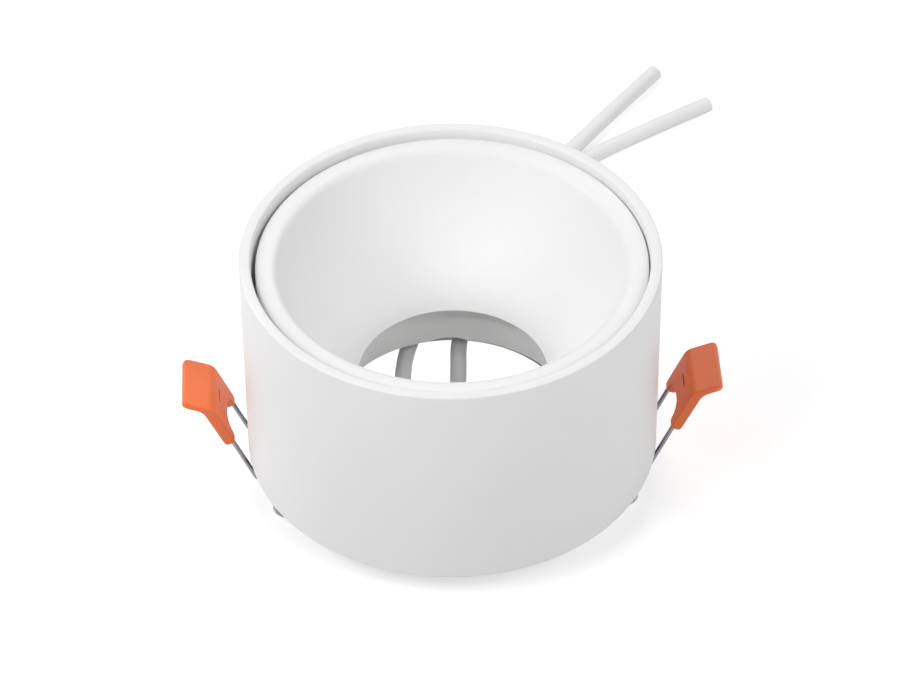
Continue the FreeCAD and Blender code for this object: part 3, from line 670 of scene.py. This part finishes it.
@dataclass
class Housing:
    """The round outer tube with its lugs, pads and screw holes."""

    radius: float = 43.5
    inner_radius: float = 41.1
    base: float = 6.8
    top: float = 56.8
    outer_ease: float = 0.3
    inner_ease: float = 0.5
    facets: int = 192
    lug_circle: float = 35.0
    lug_half: float = 4.5
    lug_low: float = 36.0
    lug_high: float = 39.0
    lug_hole: float = 1.95
    pad_x: float = 35.0516
    pad_half: float = 11.0
    pad_low: float = 9.3
    pad_high: float = 21.3
    screw_y: float = 6.5
    screw_z: float = 15.3
    screw_r: float = 1.5
    screw_depth: float = 5.4
    merge: float = 0.4
    turns: tuple[float, ...] = (90.0, 210.0, 330.0)

    def tube(self) -> bpy.types.Object:
        """The plain tube, its rim eased and its foot's edges just broken."""
        return Bench.ring_body("housing_shell", [
            (self.inner_radius, self.base, self.outer_ease),
            (self.radius, self.base, self.outer_ease),
            (self.radius, self.top, self.outer_ease),
            (self.inner_radius, self.top, self.inner_ease),
        ], self.facets)

    def lug(self) -> bpy.types.Object:
        """One round-ended lug, ready to be turned to its place."""
        lug = Bench.block(
            "lug",
            (self.lug_circle, -self.lug_half, self.lug_low), (self.radius, self.lug_half, self.lug_high))
        tip = Bench.rod(
            "lug_tip", self.lug_half, (self.lug_circle, 0, self.lug_low), (self.lug_circle, 0, self.lug_high))
        return Bench.combine(lug, Joining.ADD, tip)

    def growths(self) -> list[bpy.types.Object]:
        """The lugs and pads, trimmed to reach just into the wall."""
        lug = self.lug()
        pad = Bench.block(
            "pad", (self.pad_x, -self.pad_half, self.pad_low), (self.radius, self.pad_half, self.pad_high))
        plain = [Bench.turned_copy(lug, "lug_turned", turn) for turn in self.turns]
        plain += [pad, Bench.turned_copy(pad, "pad_turned", 180)]
        bpy.data.objects.remove(lug)
        for growth in plain:
            inside = Bench.rod(
                "inside", self.inner_radius+self.merge, (0, 0, self.base), (0, 0, self.top), self.facets)
            Bench.combine(growth, Joining.KEEP_COMMON, inside)
        return plain

    def holes(self) -> list[bpy.types.Object]:
        """Drills for the lugs' holes and the pads' pilot holes."""
        lug_drill = Bench.rod(
            "drill", self.lug_hole,
            (self.lug_circle, 0, self.lug_low-DRILL_PAST), (self.lug_circle, 0, self.lug_high+DRILL_PAST))
        drills = [Bench.turned_copy(lug_drill, "drill_turned", turn) for turn in self.turns]
        bpy.data.objects.remove(lug_drill)
        for y in (-self.screw_y, self.screw_y):
            drill = Bench.rod(
                "drill", self.screw_r,
                (self.pad_x-DRILL_PAST, y, self.screw_z), (self.pad_x+self.screw_depth, y, self.screw_z))
            drills += [drill, Bench.turned_copy(drill, "drill_turned", 180)]
        return drills

    def build(self) -> None:
        """Makes the housing and puts it in the CAD node's place."""
        shell = Bench.combine(self.tube(), Joining.ADD, *self.growths())
        Bench.combine(shell, Joining.CUT, *self.holes())
        Bench.hand_over(Bench.smooth(Bench.tidy(shell)), Finishes.housing, "housing", "housing")


@dataclass
class ReflectorCup:
    """The turned cup: a rounded rim, the cone, the lamp's seat and its chamber."""

    offset: float = 0.3
    rim_radius: float = 40.5
    rim_inner: float = 36.3
    rim_round: float = 1.8
    rim_edge_round: float = 0.4
    ease: float = 0.2
    hollow_round: float = 0.5
    waist_round: float = 1.0
    shoulder_round: float = 0.8
    arch_past: float = 2
    top: float = 55.0
    under_rim: float = 53.4
    collar_foot: float = 46.0
    wall: float = 1.6
    aperture: float = 20.07
    aperture_z: float = 24.3
    land: float = 0.3
    seat: float = 22.9
    chamber: float = 26.06
    chamber_foot: float = 10.1
    facets: int = 192
    boss_circle: float = 35.0
    boss_radius: float = 3.0
    boss_foot: float = 39.0
    pilot_radius: float = 1.5
    pilot_depth: float = 6.6
    relief_half: float = 4.6
    relief_height: float = 0.9
    turns: tuple[float, ...] = (90.0, 210.0, 330.0)

    @property
    def slope(self) -> float:
        """How far the cone widens for each millimetre up."""
        return (self.rim_inner-self.aperture)/(self.top-self.aperture_z)

    def body(self) -> bpy.types.Object:
        """The cup's wall, turned in one piece."""
        slope = self.slope
        side = self.wall*math.hypot(1, slope)
        outer = self.chamber+self.wall
        neck = self.aperture+side
        return Bench.ring_body("cup_shell", [
            (self.aperture, self.aperture_z-self.land, 0),
            (self.aperture, self.aperture_z, 0),
            (self.rim_inner, self.top, self.rim_round),
            (self.rim_radius, self.top, self.rim_edge_round),
            (self.rim_radius, self.collar_foot, self.ease),
            (self.rim_radius-self.wall, self.collar_foot, self.ease),
            (self.rim_radius-self.wall, self.under_rim, self.hollow_round),
            (neck+slope*(self.under_rim-self.aperture_z), self.under_rim, self.hollow_round),
            (neck, self.aperture_z, self.waist_round),
            (outer, self.aperture_z, self.shoulder_round),
            (outer, self.chamber_foot, self.ease),
            (self.chamber, self.chamber_foot, self.ease),
            (self.chamber, self.seat, self.hollow_round),
            (self.aperture+self.aperture_z-self.seat-self.land, self.seat, 0),
        ], self.facets)

    def bosses(self) -> list[bpy.types.Object]:
        """The screw bosses between the lugs and the rim, drilled from below and clear of the cone."""
        half = self.wall*math.hypot(1, self.slope)/2
        made = []
        for turn in self.turns:
            boss = Bench.rod(
                "boss", self.boss_radius, (self.boss_circle, 0, self.boss_foot),
                (self.boss_circle, 0, self.under_rim+self.wall/2), sides=32)
            core = self.cone_tool(self.aperture+half, self.aperture_z, self.rim_inner+half, self.top)
            drill = Bench.rod(
                "drill", self.pilot_radius, (self.boss_circle, 0, self.boss_foot-DRILL_PAST),
                (self.boss_circle, 0, self.boss_foot+self.pilot_depth), sides=24)
            Bench.combine(boss, Joining.CUT, core, drill)
            made.append(Bench.turned_copy(boss, "boss_turned", turn))
            bpy.data.objects.remove(boss)
        return made

    def cone_tool(self, low_r: float, low: float, high_r: float, high: float) -> bpy.types.Object:
        """A solid cone that keeps the bosses out of the cup's light."""
        Bench.clear()
        bpy.ops.mesh.primitive_cone_add(
            vertices=self.facets, radius1=low_r*MM, radius2=high_r*MM, depth=(high-low)*MM,
            location=(0, 0, (low+high)/2*MM))
        return Bench.settle(Bench.named("cone"))

    def relief(self) -> bpy.types.Object:
        """The shallow arch in the chamber's edge, above where the leads go out."""
        radius = (self.relief_half**2+self.relief_height**2)/(2*self.relief_height)
        z = self.chamber_foot+self.relief_height-radius
        near, far = self.chamber-self.arch_past, self.chamber+self.wall+self.arch_past
        return Bench.rod("arch", radius, (0, near, z), (0, far, z), sides=96)

    def build(self) -> None:
        """Makes the cup and puts it in the CAD node's place, a little to one side as it sits."""
        cup = Bench.combine(self.body(), Joining.ADD, *self.bosses())
        Bench.combine(cup, Joining.CUT, self.relief())
        cup.location.x = self.offset*MM
        Bench.settle(cup)
        Bench.hand_over(Bench.smooth(Bench.tidy(cup)), Finishes.cup, "housing", "reflector_cup")


@dataclass
class WirePath:
    """The middle line of a bent wire, drawn stretch by stretch."""

    points: list[Vector]
    step_deg: float = 7.5

    def line_to(self, end: Vector) -> None:
        """Goes straight to a point."""
        self.points.append(end.copy())

    def bend_to(self, corner: Vector, end: Vector) -> None:
        """Goes round a corner on the arc that touches both its sides, and ends at a point on the second."""
        start = self.points[-1]
        first, last = (start-corner), (end-corner)
        half = first.angle(last)/2
        radius = last.length*math.tan(half)
        centre = corner+(first.normalized()+last.normalized()).normalized()*(radius/math.sin(half))
        axis = (start-centre).cross(end-centre).normalized()
        turn = (start-centre).angle(end-centre)
        steps = max(2, round(math.degrees(turn)/self.step_deg))
        for i in range(1, steps+1):
            self.points.append(centre+Quaternion(axis, turn*i/steps) @ (start-centre))

    def coil(self, centre: Vector, turns: float, pitch: float) -> None:
        """Winds round an axis along Y, moving a pitch towards the middle with each turn."""
        arm = self.points[-1]-centre
        arm.y = 0
        steps = round(360*turns/self.step_deg)
        y = self.points[-1].y
        for i in range(1, steps+1):
            share = i/steps
            at = Quaternion((0, -1, 0), 2*math.pi*turns*share) @ arm
            self.points.append(Vector((centre.x+at.x, y-turns*pitch*share, centre.z+at.z)))


@dataclass
class SpringClip:
    """One clip: the sprung wire on its pin and the soft grip on the wire's closed end."""

    pin_x: float = 35.2516
    pin_z: float = 3.3
    coil_r: float = 2.6
    coil_turns: float = 2.5
    coil_pitch: float = 1.2
    wire_r: float = 0.5
    tail_y: float = 15.3
    tail_bend: float = 1.0
    arm_y: float = 5.9
    arm_angle: float = 66.5
    arm_corner: tuple[float, float] = (41.6379, 0.7)
    arm_reach: float = 19.4
    arm_bend: float = 2.0
    loop_bend: float = 2.5
    grip_half: float = 7.15
    grip_cover: float = 0.3
    grip_thick: float = 2.3
    grip_start: float = 12.2
    grip_length: float = 11.0
    foot_angle: float = 20.0
    foot_length: float = 6.7
    foot_thick: float = 1.5
    foot_corner_round: float = 1.2
    leg_taper: float = 0.9
    leg_end_round: float = 1.3
    tip_round: float = 1.1
    bend_round: float = 2.5
    hollow_round: float = 3.0
    notch_half: float = 4.8
    notch_top_half: float = 3.4
    notch_depth: float = 4.2
    notch_round: float = 2.5
    slit_half: float = 2.3
    slit_width: float = 0.6
    slit_depth: float = 1.2
    slit_past_loop: float = 0.7
    start_low: tuple[float, float] = (40.0, 10.0)
    start_high: tuple[float, float] = (44.0, 20.0)
    form_half_depth: float = 10.0
    notch_half_depth: float = 20.0
    notch_below: float = 3.0
    voxel: float = 0.13
    softening: float = 0.5
    softening_rounds: int = 60

    @property
    def up(self) -> Vector:
        """Direction of the arms, up and out along the housing."""
        slant = math.radians(self.arm_angle)
        return Vector((math.cos(slant), 0, math.sin(slant)))

    @property
    def inward(self) -> Vector:
        """Direction square to the arms, towards the housing."""
        slant = math.radians(self.arm_angle)
        return Vector((-math.sin(slant), 0, math.cos(slant)))

    @property
    def corner(self) -> Vector:
        """Point below the housing's edge where the arms turn up."""
        return Vector((self.arm_corner[0], 0, self.arm_corner[1]))

    def half_wire(self) -> list[Vector]:
        """Middle line of one half of the wire, from its tail to the middle of the closed end."""
        coil_end = self.arm_y+self.coil_turns*self.coil_pitch
        top = self.pin_z+self.coil_r
        path = WirePath([Vector((self.pin_x+self.tail_bend, self.tail_y, top))])
        path.line_to(Vector((self.pin_x+self.tail_bend, coil_end+self.tail_bend, top)))
        path.bend_to(Vector((self.pin_x+self.tail_bend, coil_end, top)), Vector((self.pin_x, coil_end, top)))
        path.coil(Vector((self.pin_x, 0, self.pin_z)), self.coil_turns, self.coil_pitch)
        side = Vector((0, self.arm_y, 0))
        reach = self.arm_bend*math.tan(math.radians(self.arm_angle)/2)
        path.line_to(self.corner+side-Vector((reach, 0, 0)))
        path.bend_to(self.corner+side, self.corner+side+self.up*reach)
        loop = self.corner+side+self.up*self.arm_reach
        path.line_to(loop-self.up*self.loop_bend)
        path.bend_to(loop, loop-Vector((0, self.loop_bend, 0)))
        path.line_to(loop-side)
        return path.points

    def spring(self) -> bpy.types.Object:
        """The whole wire: both halves of the line, given the wire's thickness."""
        half = self.half_wire()
        line = half+[Vector((p.x, -p.y, p.z)) for p in reversed(half[:-1])]
        data = bpy.data.curves.new("spring_line", "CURVE")
        data.dimensions = "3D"
        data.bevel_depth = self.wire_r*MM
        data.bevel_resolution = 5
        data.use_fill_caps = True
        spline = data.splines.new("POLY")
        spline.points.add(len(line)-1)
        for point, place in zip(spline.points, line):
            point.co = (*metres(place), 1.0)
        piece = bpy.data.objects.new("right_spring_wire", data)
        bpy.context.scene.collection.objects.link(piece)
        Bench.only(piece)
        bpy.ops.object.convert(target="MESH")
        return Bench.smooth(Bench.tidy(bpy.context.active_object), FINE_SHAPE_DEG)

    def grip_section(self) -> dict[str, Vector]:
        """Corners of the grip's side view, in millimetres."""
        rise = math.radians(self.foot_angle)
        foot = Vector((math.cos(rise), 0, math.sin(rise)))
        tip = self.corner+self.up*self.grip_start+self.inward*(self.wire_r+self.grip_cover)
        bend = tip+self.up*self.grip_length
        foot_top = bend+foot*self.foot_length
        foot_low = foot_top+Vector((foot.z, 0, -foot.x))*self.foot_thick
        outer_tip = tip-self.inward*self.grip_thick
        lean = math.radians(self.arm_angle-self.leg_taper)
        outer_up = Vector((math.cos(lean), 0, math.sin(lean)))
        gap = foot_low-outer_tip
        across = outer_up.x*foot.z-outer_up.z*foot.x
        hollow = outer_tip+outer_up*((gap.x*foot.z-gap.z*foot.x)/across)
        return {
            "tip": tip, "bend": bend, "foot_top": foot_top, "foot_low": foot_low,
            "hollow": hollow, "outer_tip": outer_tip,
        }

    @staticmethod
    def shift_edge(start: Vector, end: Vector) -> None:
        """Moves the vertices that lie over one corner of the side view to another, in edit mode."""
        Bench.pick(Picked.VERTS, lambda p: math.hypot(p.x-start.x, p.z-start.z) < SAME_PLACE_MM)
        bpy.ops.transform.translate(value=metres(end-start))

    @staticmethod
    def round_corner(is_there: Callable[[Vector], bool], rounding: float, opening: float = math.pi/2) -> None:
        """Rounds the edges that run over one corner of a view, in edit mode.

        Args:
            is_there: Says whether a vertex, in millimetres, lies over the corner.
            rounding: Radius in millimetres.
            opening: Angle between the corner's two sides.
        """
        Bench.pick(Picked.EDGES, is_there)
        reach = rounding/math.tan(opening/2)
        bpy.ops.mesh.bevel(offset=reach*MM, segments=MOULDED_EDGE_STEPS, affect="EDGES")

    def side_form(self) -> bpy.types.Object:
        """The grip as its side view shows it: a leg block whose end is drawn out into the turned foot."""
        at = self.grip_section()
        y = self.grip_half
        (near, low), (far, high) = self.start_low, self.start_high
        form = Bench.block("right_grip", (near, -y, low), (far, y, high))
        Bench.edit(form)
        shift = self.shift_edge
        shift(Vector((near, 0, low)), at["tip"])
        shift(Vector((far, 0, low)), at["outer_tip"])
        shift(Vector((near, 0, high)), at["bend"])
        shift(Vector((far, 0, high)), at["hollow"])
        ends = (at["bend"], at["hollow"])
        Bench.pick(
            Picked.FACES, lambda p: any(math.hypot(p.x-c.x, p.z-c.z) < SAME_PLACE_MM for c in ends))
        step = at["foot_top"]-at["bend"]
        bpy.ops.mesh.extrude_region_move(TRANSFORM_OT_translate={"value": metres(step)})
        shift(at["hollow"]+step, at["foot_low"])
        tip_of_foot = (at["foot_top"], at["foot_low"])
        for side in (-y, y):
            self.round_corner(
                lambda p: abs(p.y-side) < SAME_PLACE_MM
                and any(math.hypot(p.x-c.x, p.z-c.z) < SAME_PLACE_MM for c in tip_of_foot),
                self.foot_corner_round)
        roundings = {
            "tip": self.tip_round, "outer_tip": self.tip_round,
            "bend": self.bend_round, "hollow": self.hollow_round,
        }
        names = list(at)
        for name, rounding in roundings.items():
            i, corner = names.index(name), at[name]
            before, after = at[names[i-1]]-corner, at[names[i+1-len(names)]]-corner
            self.round_corner(
                lambda p: math.hypot(p.x-corner.x, p.z-corner.z) < SAME_PLACE_MM,
                rounding, before.angle(after))
        bpy.ops.object.mode_set(mode="OBJECT")
        return form

    def notch(self) -> bpy.types.Object:
        """Tool for the round-topped gap between the grip's two legs, upright and not yet in its place."""
        half = self.notch_half_depth
        tool = Bench.block(
            "notch", (-half, -self.notch_half, -self.notch_below), (half, self.notch_half, 0))
        Bench.edit(tool)
        Bench.pick(Picked.FACES, lambda p: p.z > -SAME_PLACE_MM)
        bpy.ops.mesh.extrude_region_move(TRANSFORM_OT_translate={"value": (0, 0, self.notch_depth*MM)})
        bpy.ops.transform.resize(
            value=(1, self.notch_top_half/self.notch_half, 1), center_override=(0, 0, self.notch_depth*MM))
        top, flare = self.notch_depth, math.atan2(self.notch_half-self.notch_top_half, self.notch_depth)
        for side in (-self.notch_top_half, self.notch_top_half):
            self.round_corner(
                lambda p: abs(p.z-top)+abs(p.y-side) < SAME_PLACE_MM, self.notch_round, math.pi/2+flare)
        bpy.ops.object.mode_set(mode="OBJECT")
        return tool

    def front_form(self) -> bpy.types.Object:
        """The grip as its front view shows it: two round-ended legs with the notch between them."""
        y, half = self.grip_half, self.form_half_depth
        form = Bench.block("front_form", (-half, -y, 0), (half, y, 2*self.grip_length))
        Bench.combine(form, Joining.CUT, self.notch())
        Bench.edit(form)
        flare = math.atan2(self.notch_half-self.notch_top_half, self.notch_depth)
        for side, opening in ((y, math.pi/2), (self.notch_half, math.pi/2+flare)):
            for at in (-side, side):
                self.round_corner(
                    lambda p: abs(p.z)+abs(p.y-at) < SAME_PLACE_MM, self.leg_end_round, opening)
        bpy.ops.object.mode_set(mode="OBJECT")
        form.rotation_euler = Euler((0, math.radians(90-self.arm_angle), 0))
        form.location = metres(self.corner+self.up*self.grip_start)
        return Bench.settle(form)

    def slit(self) -> bpy.types.Object:
        """Tool for the short slit that the wire's closed end leaves in the grip's face."""
        along = self.arm_reach+self.wire_r+self.slit_past_loop
        at = self.corner+self.up*along+self.inward*(self.wire_r+self.grip_cover)
        tool = Bench.rod("slit", 1.0, (-self.slit_depth, 0, 0), (self.slit_depth, 0, 0), sides=24)
        tool.scale = (1, self.slit_half, self.slit_width/2)
        Bench.settle(tool)
        tool.rotation_euler = Euler((0, math.radians(90-self.arm_angle), 0))
        tool.location = metres(at)
        return Bench.settle(tool)

    def grip(self) -> bpy.types.Object:
        """The grip: both its views drawn through each other, softened all over as vinyl is, then slit."""
        grip = Bench.combine(self.side_form(), Joining.KEEP_COMMON, self.front_form())
        Bench.tidy(grip)
        Bench.apply(grip, "REMESH", mode="VOXEL", voxel_size=self.voxel*MM)
        Bench.apply(grip, "SMOOTH", factor=self.softening, iterations=self.softening_rounds)
        Bench.combine(grip, Joining.CUT, self.slit())
        return Bench.smooth(Bench.tidy(grip), FINE_SHAPE_DEG)

    def build(self) -> None:
        """Makes both clips: the right one, and a copy turned to the left."""
        spring, grip = self.spring(), self.grip()
        for side in Side:
            body = side.label+"_clip"
            wire = spring if side is Side.RIGHT else Bench.turned_copy(spring, "left_spring_wire", side.value)
            held = grip if side is Side.RIGHT else Bench.turned_copy(grip, "left_grip", side.value)
            Bench.hand_over(wire, Finishes.wire, body, side.label+"_clip_spring")
            Bench.hand_over(held, Finishes.grip, body, side.label+"_clip_grip")


@dataclass
class Hardware:
    """The small rigid pieces that keep their CAD form: brackets, pins, screws and the lamp holder."""

    finishes: dict[str, Finish] = field(default_factory=lambda: {
        "right_clip_bracket": Finishes.bracket,
        "left_clip_bracket": Finishes.bracket,
        "right_clip_pin": Finishes.pin,
        "left_clip_pin": Finishes.pin,
        "cup_screws": Finishes.screw,
        "bracket_screws": Finishes.screw,
        "lampholder_body": Finishes.ceramic,
        "lampholder_cover": Finishes.ceramic,
        "lampholder_rivets": Finishes.rivet,
        "lampholder_contact_left": Finishes.contact,
        "lampholder_contact_right": Finishes.contact,
    })

    def build(self) -> None:
        """Joins up each piece's surface and dresses it."""
        for node, finish in self.finishes.items():
            Bench.hand_over(Bench.merged_copy(node), finish, "housing", node)


def main() -> None:
    """Makes the studio, the leads and then each sub-assembly."""
    logging.basicConfig(level=logging.INFO, format="%(name)s: %(message)s")
    Studio().build()
    Lead("lead_left", [
        (-9.0, -3.5, 7.5), (-9.0, 7.5, 7.5), (-10.4, 19.0, 5.0), (-8.0, 33.0, 5.0), (1.5, 54.0, 5.0),
        (16.8, 79.6, 1.9), (34.6, 104.3, 1.9), (53.8, 128.8, 1.9),
    ], 151.3).build()
    Lead("lead_right", [
        (1.0, -3.5, 7.5), (1.0, 7.5, 7.5), (2.2, 19.0, 5.0), (2.7, 34.0, 5.0), (9.6, 54.5, 5.0),
        (21.1, 75.6, 1.9), (31.8, 94.6, 1.9), (47.8, 105.6, 1.9), (65.4, 116.1, 1.9),
    ], 144.8).build()
    Housing().build()
    ReflectorCup().build()
    SpringClip().build()
    Hardware().build()


if __name__ == "__main__":
    main()
